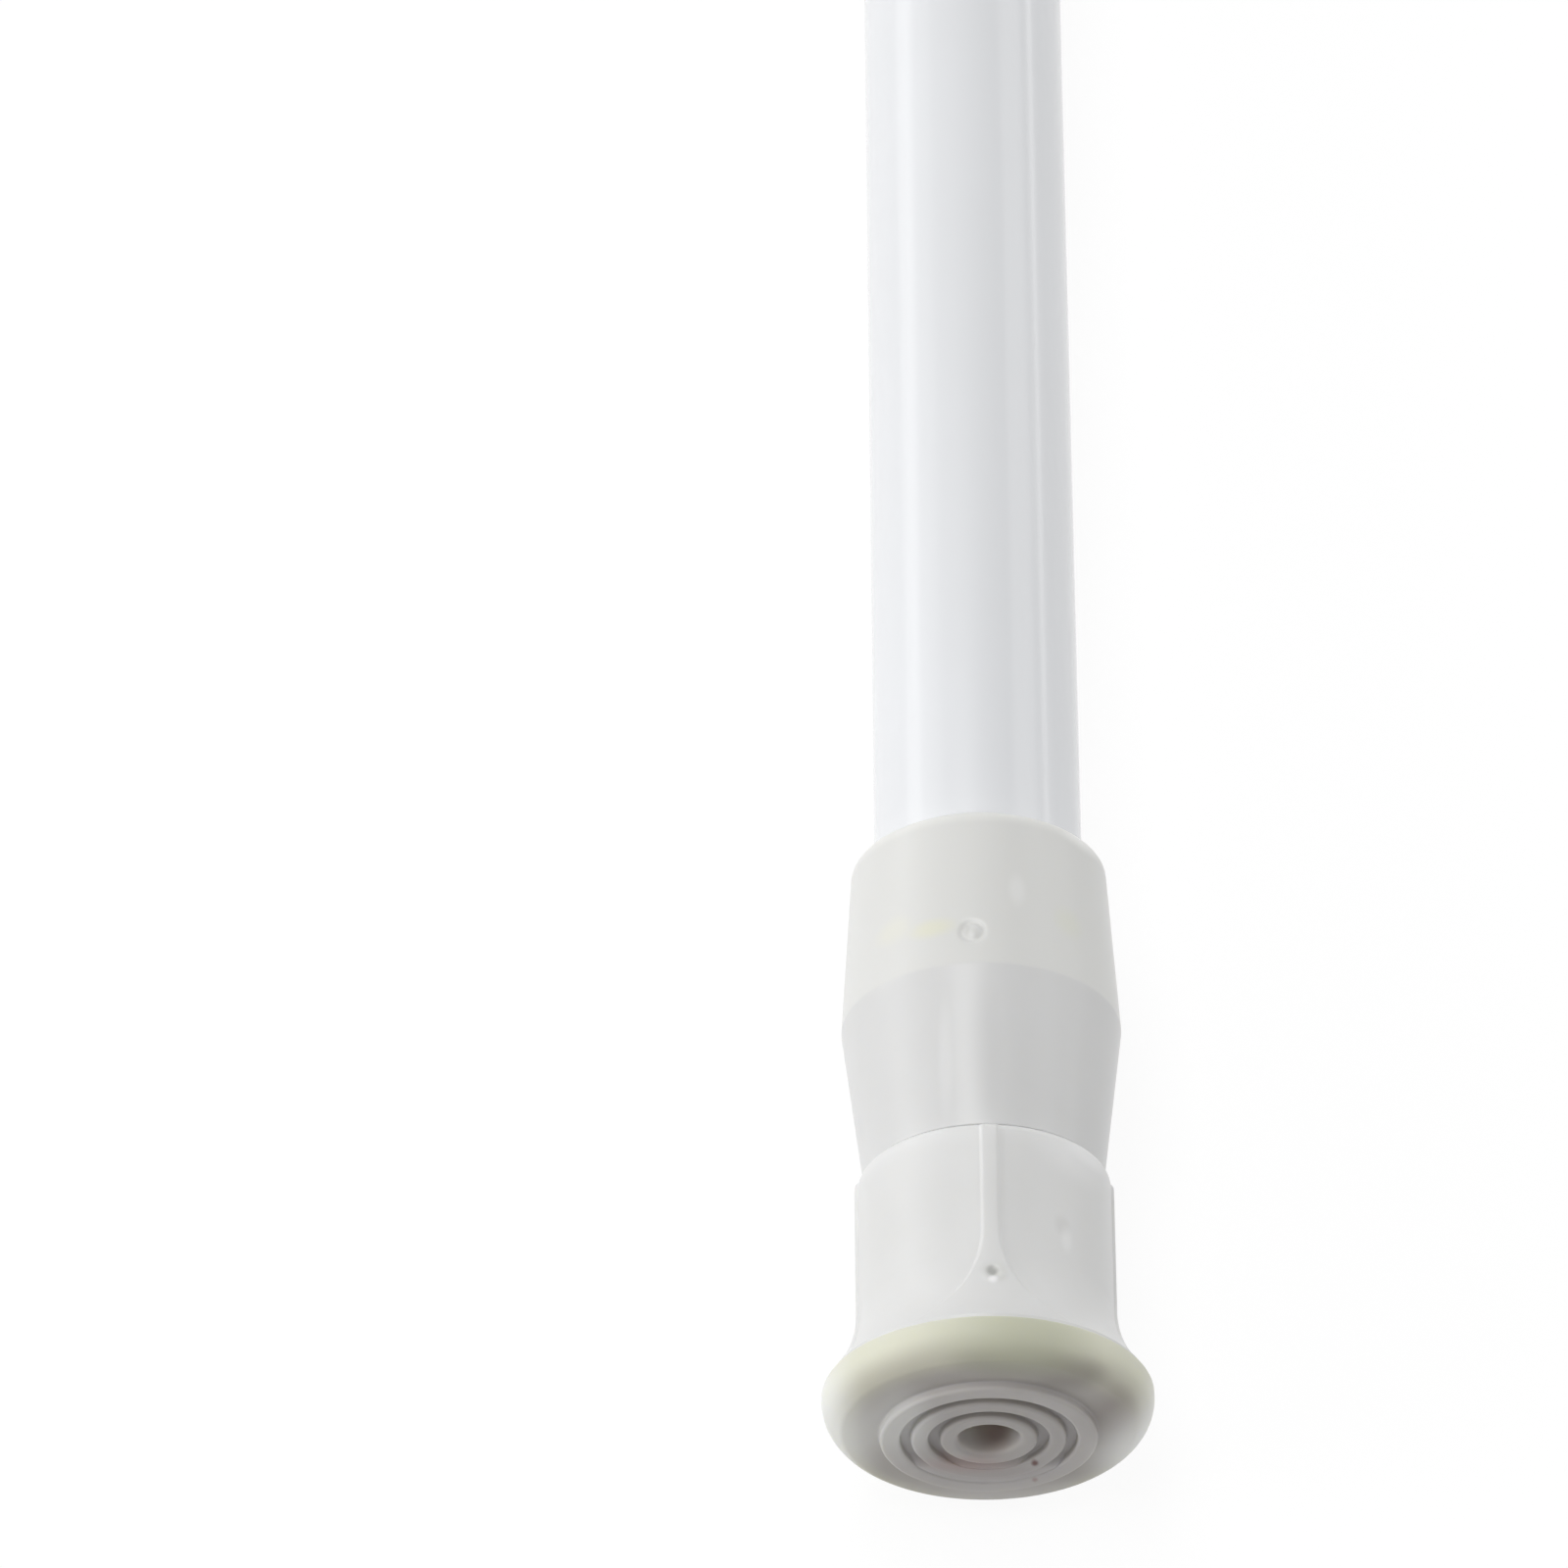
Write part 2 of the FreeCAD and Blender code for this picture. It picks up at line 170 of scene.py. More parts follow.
table_share = put(table_tree, "ShaderNodeMath", {0: table_seen, 1: table_glow}, operation="MULTIPLY")
table_mix = put(
    table_tree,
    "ShaderNodeMixShader",
    {0: table_share.outputs[0], 1: table_matt.outputs[0], 2: table_shine.outputs[0]},
)
put(table_tree, "ShaderNodeOutputMaterial", {"Surface": table_mix.outputs[0]})
table_mesh.materials.append(table_white)


# The outer tube: 22 mm steel, 0.6 mm thick, cut square and sprayed with white powder coat. The coat
# melts into a gloss with a faint orange peel. One end is in a cap, and the other in the collar.
outer_tube_r = 0.011
outer_tube_wall = 0.0006
outer_tube_columns = 160
tube_edge = 0.00012
tube_row_step = 0.02
merge_distance = 1e-7
sharp_angle = math.radians(38)


def softened(corners, steps=4):
    """A closed outline in (x, radius) points. A corner with a third number is rounded by that much."""
    points = []
    for i, corner in enumerate(corners):
        here = Vector(corner[:2])
        if len(corner) == 2:
            points.append(here)
            continue
        before = Vector(corners[i - 1][:2]) - here
        after = Vector(corners[(i + 1) % len(corners)][:2]) - here
        reach = min(corner[2], before.length / 2.1, after.length / 2.1)
        start = here + before.normalized() * reach
        end = here + after.normalized() * reach
        for step in range(steps + 1):
            share = step / steps
            points.append(start * (1 - share) ** 2 + here * 2 * share * (1 - share) + end * share * share)
    return points


def skin(name, rings):
    """A closed mesh over rings of points. Each ring joins the next, and the last joins the first."""
    width = len(rings[0])
    corners = []
    for i in range(len(rings)):
        after = (i + 1) % len(rings)
        for j in range(width):
            k = (j + 1) % width
            corners.append((i * width + j, i * width + k, after * width + k, after * width + j))
    mesh = bpy.data.meshes.new(name)
    mesh.from_pydata([point for ring in rings for point in ring], [], corners)
    smoothed(mesh)
    piece = bpy.data.objects.new(name, mesh)
    scene.collection.objects.link(piece)
    return piece


def smoothed(mesh):
    """Merges doubled points, turns the faces outward and shades them smooth between real edges."""
    shape = bmesh.new()
    shape.from_mesh(mesh)
    bmesh.ops.remove_doubles(shape, verts=shape.verts, dist=merge_distance)
    bmesh.ops.recalc_face_normals(shape, faces=shape.faces)
    shape.to_mesh(mesh)
    shape.free()
    mesh.shade_smooth()
    mesh.set_sharp_from_angle(angle=sharp_angle)


def turned(name, outline, angles):
    """An outline turned about the rod's axis. Angles are measured from the top towards +Y."""
    rings = []
    for x, radius in outline:
        rings.append([(x, radius * math.sin(angle), radius * math.cos(angle)) for angle in angles])
    return skin(name, rings)


def even_angles(count):
    """Angles spread evenly round the axis."""
    return [2 * math.pi * i / count for i in range(count)]


def spaced(first, last, step):
    """Values from first to last, both included, no further apart than a step."""
    count = max(1, math.ceil(abs(last - first) / step))
    return [first + (last - first) * i / count for i in range(count + 1)]


def tube_outline(low, high, radius, wall, outside, inside):
    """A cut tube's section with eased edges, through rows of points outside and inside."""
    return softened(
        [
            (low, radius - wall, tube_edge),
            (low, radius, tube_edge),
            *outside,
            (high, radius, tube_edge),
            (high, radius - wall, tube_edge),
            *inside,
        ]
    )


def new_group(name, numbers, outputs):
    """An empty shader group with a vector input, more inputs with their values, and outputs."""
    group = bpy.data.node_groups.new(name, "ShaderNodeTree")
    group.interface.new_socket("Coordinates", in_out="INPUT", socket_type="NodeSocketVector")
    for socket, kind, value in numbers:
        group.interface.new_socket(socket, in_out="INPUT", socket_type=kind).default_value = value
    for socket, kind in outputs:
        group.interface.new_socket(socket, in_out="OUTPUT", socket_type=kind)
    return group, group.nodes.new("NodeGroupInput"), group.nodes.new("NodeGroupOutput")


def mixed(tree, share, first, second):
    """A colour between two others."""
    return put(tree, "ShaderNodeMix", {0: share, 6: first, 7: second}, data_type="RGBA").outputs[2]


def clouded_surface_group():
    """Slow clouds of tone and gloss, under a fine grain that stands up from the surface."""
    group, entry, result = new_group(
        "clouded_surface",
        [
            ("Light Tone", "NodeSocketColor", (0.8, 0.8, 0.8, 1)),
            ("Dark Tone", "NodeSocketColor", (0.7, 0.7, 0.7, 1)),
            ("Cloud Scale", "NodeSocketFloat", 60.0),
            ("Grain Scale", "NodeSocketFloat", 900.0),
            ("Least Roughness", "NodeSocketFloat", 0.25),
            ("Most Roughness", "NodeSocketFloat", 0.4),
        ],
        [("Colour", "NodeSocketColor"), ("Roughness", "NodeSocketFloat"), ("Height", "NodeSocketFloat")],
    )
    place = entry.outputs["Coordinates"]
    clouds = put(
        group, "ShaderNodeTexNoise", {"Vector": place, "Scale": entry.outputs["Cloud Scale"], "Detail": 3.0}
    )
    spread = put(
        group,
        "ShaderNodeMapRange",
        {"Value": clouds.outputs["Fac"], "From Min": 0.15, "From Max": 0.85},
        interpolation_type="SMOOTHSTEP",
    )
    grain = put(
        group, "ShaderNodeTexNoise", {"Vector": place, "Scale": entry.outputs["Grain Scale"], "Detail": 2.0}
    )
    gloss = put(
        group,
        "ShaderNodeMapRange",
        {
            "Value": spread.outputs[0],
            "To Min": entry.outputs["Least Roughness"],
            "To Max": entry.outputs["Most Roughness"],
        },
    )
    colour = mixed(group, spread.outputs[0], entry.outputs["Dark Tone"], entry.outputs["Light Tone"])
    group.links.new(colour, result.inputs["Colour"])
    group.links.new(gloss.outputs[0], result.inputs["Roughness"])
    group.links.new(grain.outputs["Fac"], result.inputs["Height"])
    return group


clouded_surface = clouded_surface_group()


class Finish:
    """A material on the clouded surface, whose colour can be changed further along its tree."""

    def __init__(self, name, light_tone, dark_tone, scales, roughness, grain_height):
        self.material = bpy.data.materials.new(name)
        self.material.use_nodes = True
        self.tree = self.material.node_tree
        self.shader = self.tree.nodes["Principled BSDF"]
        self.place = put(self.tree, "ShaderNodeTexCoord").outputs["Object"]
        clouds = put(self.tree, "ShaderNodeGroup", node_tree=clouded_surface)
        self.tree.links.new(self.place, clouds.inputs["Coordinates"])
        clouds.inputs["Light Tone"].default_value = (*light_tone, 1)
        clouds.inputs["Dark Tone"].default_value = (*dark_tone, 1)
        clouds.inputs["Cloud Scale"].default_value, clouds.inputs["Grain Scale"].default_value = scales
        clouds.inputs["Least Roughness"].default_value = roughness[0]
        clouds.inputs["Most Roughness"].default_value = roughness[1]
        bump = put(
            self.tree,
            "ShaderNodeBump",
            {"Strength": 1.0, "Distance": grain_height, "Height": clouds.outputs["Height"]},
        )
        self.tree.links.new(clouds.outputs["Roughness"], self.shader.inputs["Roughness"])
        self.tree.links.new(bump.outputs[0], self.shader.inputs["Normal"])
        self.colour = clouds.outputs["Colour"]
        self.recolour(self.colour)

    def recolour(self, colour):
        """Gives the shader a colour that comes later in the tree."""
        self.colour = colour
        self.tree.links.new(colour, self.shader.inputs["Base Color"])

    def lit_inside(self, share, reach):
        """Lets light spread under the surface, as far as a reach for each of red, green and blue."""
        self.shader.inputs["Subsurface Weight"].default_value = share
        self.shader.inputs["Subsurface Radius"].default_value = reach
        self.shader.inputs["Subsurface Scale"].default_value = 1.0

    def on(self, piece):
        """Puts the finish on a piece."""
        piece.data.materials.clear()
        piece.data.materials.append(self.material)


def stands_for(piece, finish, body, slot, *nodes):
    """The piece gets its finish, rides on its body and takes the place of its CAD solids."""
    finish.on(piece)
    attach(piece, body)
    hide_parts(*nodes)


white_enamel = Finish(
    "white_enamel", (0.775, 0.785, 0.805), (0.755, 0.765, 0.782), (26.0, 520.0), (0.2, 0.262), 0.000004
)
white_enamel.shader.inputs["Coat Weight"].default_value = 0.35
white_enamel.shader.inputs["Coat Roughness"].default_value = 0.12

outer_low, outer_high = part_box("outer_tube")
outer_stations = spaced(outer_low.x + tube_row_step, outer_high.x - tube_row_step, tube_row_step)
outer_rows = [(x, outer_tube_r) for x in outer_stations]
outer_tube = turned(
    "outer_tube_enamelled",
    tube_outline(outer_low.x, outer_high.x, outer_tube_r, outer_tube_wall, outer_rows, []),
    even_angles(outer_tube_columns),
)
stands_for(outer_tube, white_enamel, "outer_pole", "white_steel", "outer_tube")


# An end cap: glossy white plastic, moulded in one piece. A straight sleeve with four raised fins
# flares out to the soft pad. The fins fan into the flare, and the gate leaves a dimple on the top one.
# Eight crush ribs inside grip the tube.
pad_depth = 0.0054
cap_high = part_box("end_cap_fixed")[1]
cap_mouth = cap_high.x
cap_rim_r = cap_high.z
cap_rim_width = 0.0005
cap_flare_length = 0.0088
cap_sleeve_r = 0.0132
cap_fin_r = 0.0135
cap_bore_r = 0.0119
cap_web = 0.002
cap_lip = 0.0009
cap_mouth_edge = 0.0002
cap_rim_edge = 0.00018
cap_rim_angles = (0, 30, 60, 90)
cap_lip_angles = range(9, 91, 9)
cap_stem_hole_r = 0.0054
cap_flare_row = 0.0003
cap_gate_row = 0.00008
cap_fan_row = 0.00035
cap_sleeve_row = 0.0012
fin_half_width = 0.00115
fin_flank = 0.0005
fan_spread = 0.007
fan_start = 0.0178
fin_top_columns = 20
fin_flank_columns = 5
sleeve_columns = 24
gate_place = Vector((0.0125, 0.0001))
gate_pit_r = 0.0006
gate_pit_depth = 0.00022
gate_dish_r = 0.0015
gate_dish_depth = 0.0001
gate_lip_height = 0.00014
gate_lip_r = 0.00114
gate_lip_width = 0.00036
gate_reach = 0.0024
rib_count = 8
rib_width = 0.0012
rib_setback = 0.004
rib_fit = 0.00005
rod_length = cad_high[0]


def flare_r(from_wall, level_r):
    """Radius of the trumpet that runs from a level radius out to the rim."""
    rise = cap_rim_r - level_r
    arc_r = (cap_flare_length**2 + rise**2) / (2 * rise)
    run = min(max(pad_depth + cap_rim_width + cap_flare_length - from_wall, 0), cap_flare_length)
    return level_r + arc_r - math.sqrt(arc_r**2 - run**2)


def fan_half_width(from_wall):
    """Half the width of a fin's foot: straight from the mouth, then fanning out to the rim."""
    share = max(fan_start - from_wall, 0) / (fan_start - pad_depth)
    return fin_half_width + fan_spread * share**2


def fin_columns(foot):
    """Angles across one quarter of the cap, each with how far it is up on a fin, from 0 to 1."""
    flank = fin_flank / cap_fin_r
    top = foot - flank
    columns = [(top * i / fin_top_columns, 1.0) for i in range(-fin_top_columns, fin_top_columns + 1)]
    for i in range(1, fin_flank_columns + 1):
        down = i / fin_flank_columns
        columns.append((top + flank * down, 0.5 + 0.5 * math.cos(math.pi * down)))
    gap = math.pi / 2 - 2 * foot
    columns += [(foot + gap * i / sleeve_columns, 0.0) for i in range(1, sleeve_columns)]
    for i in range(fin_flank_columns):
        up = i / fin_flank_columns
        columns.append((math.pi / 2 - foot + flank * up, 0.5 - 0.5 * math.cos(math.pi * up)))
    return columns


def gate_rise(from_wall, across):
    """How far the surface stands up round the gate's mark: a dish, a pit in it, and a lip."""
    away = Vector((from_wall, across)) - gate_place
    distance = away.length
    rise = -gate_pit_depth * math.exp(-((distance / gate_pit_r) ** 4))
    rise -= gate_dish_depth * math.exp(-((distance / gate_dish_r) ** 2))
    facing_wall = max(-away.x / max(distance, 1e-6), 0)
    off_lip = (distance - gate_lip_r) / gate_lip_width
    return rise + gate_lip_height * facing_wall * math.exp(-(off_lip**2))


def cap_rows():
    """Rows of (from the wall, sleeve radius, fin radius), round the cap's whole section."""
    rows = []
    for angle in cap_rim_angles:
        turn = math.radians(angle)
        radius = cap_rim_r - cap_rim_edge * (1 - math.sin(turn))
        rows.append((pad_depth + cap_rim_edge * (1 - math.cos(turn)), radius, radius))
    near, far = gate_place.x - gate_reach, gate_place.x + gate_reach
    stations = spaced(pad_depth + cap_rim_width, near, cap_flare_row)
    stations += spaced(near, far, cap_gate_row)[1:]
    stations += spaced(far, fan_start, cap_fan_row)[1:]
    stations += spaced(fan_start, cap_mouth - cap_lip, cap_sleeve_row)[1:]
    for from_wall in stations:
        rows.append((from_wall, flare_r(from_wall, cap_sleeve_r), flare_r(from_wall, cap_fin_r)))
    for angle in cap_lip_angles:
        turn = math.radians(angle)
        sleeve_r = cap_sleeve_r - cap_lip * (1 - math.cos(turn))
        fin_r = sleeve_r + (cap_fin_r - cap_sleeve_r) * math.cos(turn)
        rows.append((cap_mouth - cap_lip * (1 - math.sin(turn)), sleeve_r, fin_r))
    inside = [
        (cap_mouth, cap_sleeve_r - cap_lip),
        (cap_mouth, cap_bore_r, cap_mouth_edge),
        (pad_depth + cap_web, cap_bore_r, cap_mouth_edge),
        (pad_depth + cap_web, cap_stem_hole_r),
        (pad_depth, cap_stem_hole_r),
    ]
    return rows + [(from_wall, radius, radius) for from_wall, radius in softened(inside)[1:]]


def cap_shell(name, sliding):
    """The cap's skin. At the sliding end it is turned round, with its top still up."""
    rings = []
    for from_wall, sleeve_r, fin_r in cap_rows():
        ring = []
        for quarter in range(4):
            for angle, share in fin_columns(fan_half_width(from_wall) / cap_fin_r):
                radius = sleeve_r + (fin_r - sleeve_r) * share
                if quarter == 0 and fin_r > sleeve_r:
                    radius += gate_rise(from_wall, radius * math.sin(angle))
                turn = angle + quarter * math.pi / 2
                across, up = radius * math.sin(turn), radius * math.cos(turn)
                ring.append((rod_length - from_wall, across, up) if sliding else (from_wall, -across, up))
        rings.append(ring)
    return skin(name, rings)


def new_tree(name, inputs):
    """An empty geometry tree with named inputs. Returns it with its entry node."""
    tree = bpy.data.node_groups.new(name, "GeometryNodeTree")
    for socket, kind in [("Geometry", "Geometry"), *inputs, ("Material", "Material")]:
        tree.interface.new_socket(socket, in_out="INPUT", socket_type="NodeSocket" + kind)
    tree.interface.new_socket("Geometry", in_out="OUTPUT", socket_type="NodeSocketGeometry")
    return tree, tree.nodes.new("NodeGroupInput")


def end_tree(tree, entry, geometry):
    """Ends a tree in real geometry with its material."""
    real = put(tree, "GeometryNodeRealizeInstances", {"Geometry": geometry})
    painted = put(
        tree, "GeometryNodeSetMaterial", {"Geometry": real.outputs[0], "Material": entry.outputs["Material"]}
    )
    tree.links.new(painted.outputs[0], tree.nodes.new("NodeGroupOutput").inputs[0])


def spun_copies_tree():
    """Copies of a shape, spread evenly about the rod's axis."""
    tree, entry = new_tree("spun_copies", [("Count", "Int"), ("First Turn", "Float")])
    points = put(tree, "GeometryNodePoints", {"Count": entry.outputs["Count"]})
    index = put(tree, "GeometryNodeInputIndex")
    step = put(tree, "ShaderNodeMath", {0: 2 * math.pi, 1: entry.outputs["Count"]}, operation="DIVIDE")
    turn = put(
        tree,
        "ShaderNodeMath",
        {0: index.outputs[0], 1: step.outputs[0], 2: entry.outputs["First Turn"]},
        operation="MULTIPLY_ADD",
    )
    rotation = put(tree, "ShaderNodeCombineXYZ", {"X": turn.outputs[0]})
    copies = put(
        tree,
        "GeometryNodeInstanceOnPoints",
        {"Points": points.outputs[0], "Instance": entry.outputs["Geometry"], "Rotation": rotation.outputs[0]},
    )
    end_tree(tree, entry, copies.outputs[0])
    return tree


spun_copies = spun_copies_tree()


def grown(name, tree, source, finish, values):
    """A plain mesh piece that a tree makes from a source mesh."""
    piece = bpy.data.objects.new(name, source)
    scene.collection.objects.link(piece)
    growth = piece.modifiers.new(tree.name, "NODES")
    growth.node_group = tree
    for item in tree.interface.items_tree:
        if item.in_out == "INPUT" and item.name in values:
            growth[item.identifier] = values[item.name]
        if item.in_out == "INPUT" and item.name == "Material":
            growth[item.identifier] = finish.material
    solid = bpy.data.meshes.new_from_object(piece.evaluated_get(bpy.context.evaluated_depsgraph_get()))
    piece.modifiers.clear()
    piece.data = solid
    smoothed(solid)
    return piece


def rib_blank(tube_r, sliding):
    """One crush rib on top of the bore, with a lead-in slope at the mouth's end."""
    foot, tip = cap_bore_r + rib_fit, tube_r + rib_fit
    back, front = pad_depth + cap_web, cap_mouth - rib_setback
    lead = foot - tip
    section = [(back, foot), (back, tip), (front - lead, tip), (front, foot)]
    points = []
    for side in (-1, 1):
        for from_wall, up in section:
            points.append((rod_length - from_wall if sliding else from_wall, side * rib_width / 2, up))
    faces = [(0, 1, 2, 3), (7, 6, 5, 4)]
    faces += [(i, (i + 1) % 4, (i + 1) % 4 + 4, i + 4) for i in range(4)]
    mesh = bpy.data.meshes.new("rib")
    mesh.from_pydata(points, [], faces)
    return mesh


def cap_ribs(name, tube_r, sliding):
    """The ring of crush ribs that grips a tube, between the fins."""
    return grown(
        name,
        spun_copies,
        rib_blank(tube_r, sliding),
        white_plastic,
        {"Count": rib_count, "First Turn": math.pi / rib_count},
    )


def rod_places_group():
    """How far a point is from the wall at its own end of the rod, and from the rod's axis."""
    group, entry, result = new_group(
        "rod_places", [], [("From Wall", "NodeSocketFloat"), ("From Axis", "NodeSocketFloat")]
    )
    axes = put(group, "ShaderNodeSeparateXYZ", {0: entry.outputs["Coordinates"]})
    off_middle = put(group, "ShaderNodeMath", {0: axes.outputs["X"], 1: rod_length / 2}, operation="SUBTRACT")
    either_way = put(group, "ShaderNodeMath", {0: off_middle.outputs[0]}, operation="ABSOLUTE")
    from_wall = put(
        group, "ShaderNodeMath", {0: rod_length / 2, 1: either_way.outputs[0]}, operation="SUBTRACT"
    )
    across = put(group, "ShaderNodeCombineXYZ", {"Y": axes.outputs["Y"], "Z": axes.outputs["Z"]})
    from_axis = put(group, "ShaderNodeVectorMath", {0: across.outputs[0]}, operation="LENGTH")
    group.links.new(from_wall.outputs[0], result.inputs["From Wall"])
    group.links.new(from_axis.outputs["Value"], result.inputs["From Axis"])
    return group


rod_places = rod_places_group()


def graded(finish, measure, start, end, share, colour):
    """Fades a finish into a colour between two distances from the wall or from the axis."""
    tree = finish.tree
    place = put(tree, "ShaderNodeGroup", node_tree=rod_places)
    tree.links.new(finish.place, place.inputs["Coordinates"])
    fade = put(
        tree,
        "ShaderNodeMapRange",
        {"Value": place.outputs[measure], "From Min": start, "From Max": end, "To Max": share},
        interpolation_type="SMOOTHSTEP",
    )
    finish.recolour(mixed(tree, fade.outputs[0], finish.colour, (*colour, 1)))


def soft_spot_group():
    """A mask that is 1 at a centre and fades to 0 at a size, which can differ on each axis."""
    group, entry, result = new_group(
        "soft_spot",
        [("Centre", "NodeSocketVector", (0, 0, 0)), ("Size", "NodeSocketVector", (1, 1, 1))],
        [("Mask", "NodeSocketFloat")],
    )
    away = put(
        group,
        "ShaderNodeVectorMath",
        {0: entry.outputs["Coordinates"], 1: entry.outputs["Centre"]},
        operation="SUBTRACT",
    )
    scaled = put(
        group, "ShaderNodeVectorMath", {0: away.outputs[0], 1: entry.outputs["Size"]}, operation="DIVIDE"
    )
    distance = put(group, "ShaderNodeVectorMath", {0: scaled.outputs[0]}, operation="LENGTH")
    mask = put(
        group,
        "ShaderNodeMapRange",
        {"Value": distance.outputs["Value"], "From Min": 1.0, "From Max": 0.2},
        interpolation_type="SMOOTHSTEP",
    )
    group.links.new(mask.outputs[0], result.inputs["Mask"])
    return group


soft_spot = soft_spot_group()


def spotted(finish, marks):
    """Adds soft marks near the sliding end. Each is a centre, a size, a strength and a colour.

    A centre is how far it is from that end's wall, how far to the right, and how far up.
    """
    tree = finish.tree
    for (from_wall, right, up), size, strength, colour in marks:
        spot = put(tree, "ShaderNodeGroup", node_tree=soft_spot)
        tree.links.new(finish.place, spot.inputs["Coordinates"])
        spot.inputs["Centre"].default_value = (rod_length - from_wall, right, up)
        spot.inputs["Size"].default_value = size
        share = put(tree, "ShaderNodeMath", {0: spot.outputs["Mask"], 1: strength}, operation="MULTIPLY")
        finish.recolour(mixed(tree, share.outputs[0], finish.colour, (*colour, 1)))


white_plastic = Finish(
    "white_plastic", (0.722, 0.722, 0.714), (0.69, 0.69, 0.68), (95.0, 1400.0), (0.29, 0.4), 0.000006
)
plastic_reach = (0.0016, 0.0014, 0.0011)
white_plastic.lit_inside(0.12, plastic_reach)
# Painted highlight: the sleeve is painted paler towards the mouth, and its rounded lip paler still.
lip_highlight_tone = (0.86, 0.86, 0.86)
lip_highlight_end = cap_mouth - 0.0001
lip_highlight_start = lip_highlight_end - 0.0004
graded(white_plastic, "From Wall", lip_highlight_end - 0.0030, lip_highlight_start, 0.22, lip_highlight_tone)
graded(white_plastic, "From Wall", lip_highlight_start, lip_highlight_end, 0.8, lip_highlight_tone)
spotted(
    white_plastic,
    [
        # Painted highlight on the mouth's edge, on the right.
        ((0.0291, 0.0104, 0.0080), (0.0018, 0.004, 0.005), 0.6, (0.88, 0.88, 0.88)),
        ((0.0283, 0.0092, 0.0092), (0.0042, 0.0062, 0.007), 0.4, (0.87, 0.87, 0.87)),
        # A grey smudge, and a rubbed place beside it.
        ((0.0193, 0.0075, 0.0109), (0.0016, 0.0014, 0.0014), 0.22, (0.48, 0.47, 0.45)),
        ((0.0178, 0.0079, 0.0106), (0.0022, 0.0010, 0.0012), 0.4, (0.84, 0.84, 0.83)),
        # The gate's mark: painted shade in its dish and its pit, and a painted highlight on its lip.
        ((0.0124, 0.0004, 0.0137), (0.0017, 0.0021, 0.002), 0.4, (0.58, 0.59, 0.55)),
        ((0.0125, 0.0001, 0.0135), (0.0008, 0.0009, 0.0012), 0.75, (0.34, 0.34, 0.32)),
        ((0.0113, 0.0001, 0.0139), (0.0007, 0.0007, 0.0012), 0.9, (0.9, 0.9, 0.9)),
    ],
)

cap_fixed = cap_shell("end_cap_fixed_moulded", False)
stands_for(cap_fixed, white_plastic, "outer_pole", "white_cap", "end_cap_fixed")
cap_fixed_ribs = cap_ribs("end_cap_fixed_ribs", outer_tube_r, False)
stands_for(cap_fixed_ribs, white_plastic, "outer_pole", "white_cap", "end_cap_fixed")


# A wall pad: soft cream rubber, moulded in one piece and a little clear at its thin back edge. Three
# rings stand up from its face round a hollow stem, whose barb snaps through the hole in the cap's web.
pad_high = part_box("wall_pad_fixed")[1]
pad_rim_r = pad_high.z
pad_stem_end = pad_high.x
pad_rings = ((0.0032, 0.0050), (0.0062, 0.0080), (0.0091, 0.0112))
pad_ring_height = 0.00095
pad_ring_round = 0.00075
pad_groove_round = 0.00025
pad_ring_foot_round = 0.001
pad_face_round = 0.0011
pad_level_r = 0.0132
pad_face_edge = (0.00115, 0.0151)
pad_widest_from_wall = 0.0047
pad_rim_round = 0.0005
pad_hole_depth = 0.009
pad_hole_round = 0.0006
pad_stem_r = 0.0052
pad_stem_round = 0.0003
pad_barb_round = 0.0002
pad_barb_r = 0.006
pad_barb_start = 0.0076
pad_side_steps = 20
pad_round_steps = 8
pad_columns = 192


def pad_side(steps):
    """The round of the pad's side, from its face's edge back to its widest place."""
    run = pad_widest_from_wall - pad_face_edge[0]
    rise = pad_rim_r - pad_face_edge[1]
    arc_r = (run**2 + rise**2) / (2 * rise)
    sweep = math.atan2(run, arc_r - rise)
    points = []
    for i in range(steps, -1, -1):
        angle = sweep * i / steps
        radius = pad_rim_r - arc_r * (1 - math.cos(angle))
        points.append((pad_widest_from_wall - arc_r * math.sin(angle), radius))
    return points


def pad_outline():
    """The pad's section, from the middle of its face out to the rim and back along its stem."""
    corners = [(pad_hole_depth, 0.0), (pad_hole_depth, pad_rings[0][0], pad_hole_round)]
    groove_ends = [(ring[0], pad_groove_round) for ring in pad_rings[1:]]
    groove_ends.append((pad_level_r, pad_ring_foot_round))
    for (inside, outside), groove_end in zip(pad_rings, groove_ends):
        corners.append((0.0, inside, pad_ring_round))
        corners.append((0.0, outside, pad_ring_round))
        corners.append((pad_ring_height, outside, pad_groove_round))
        corners.append((pad_ring_height, *groove_end))
    side = pad_side(pad_side_steps)
    corners.append((*side[0], pad_face_round))
    corners += side[3:]
    corners += [
        (pad_depth, pad_rim_r, pad_rim_round),
        (pad_depth, pad_stem_r, pad_stem_round),
        (pad_barb_start, pad_stem_r),
        (pad_barb_start, pad_barb_r, pad_barb_round),
        (pad_stem_end, pad_stem_r - pad_barb_round, pad_stem_round),
        (pad_stem_end, 0.0),
    ]
    return softened(corners, pad_round_steps)


cream_rubber = Finish(
    "cream_rubber", (0.47, 0.45, 0.44), (0.415, 0.395, 0.383), (140.0, 1700.0), (0.42, 0.58), 0.00001
)
cream_rubber.lit_inside(0.25, (0.003, 0.0028, 0.0016))
# Dirtier inner rings, painted shade in a brown band round the outer ring, and a painted yellow-green
# glow at the edge of the face, where light comes through the rubber.
graded(cream_rubber, "From Axis", 0.0092, 0.0070, 0.6, (0.35, 0.33, 0.32))
graded(cream_rubber, "From Axis", 0.01125, 0.0116, 1.0, (0.40, 0.378, 0.352))
graded(cream_rubber, "From Axis", 0.0130, 0.0156, 0.75, (0.55, 0.54, 0.44))
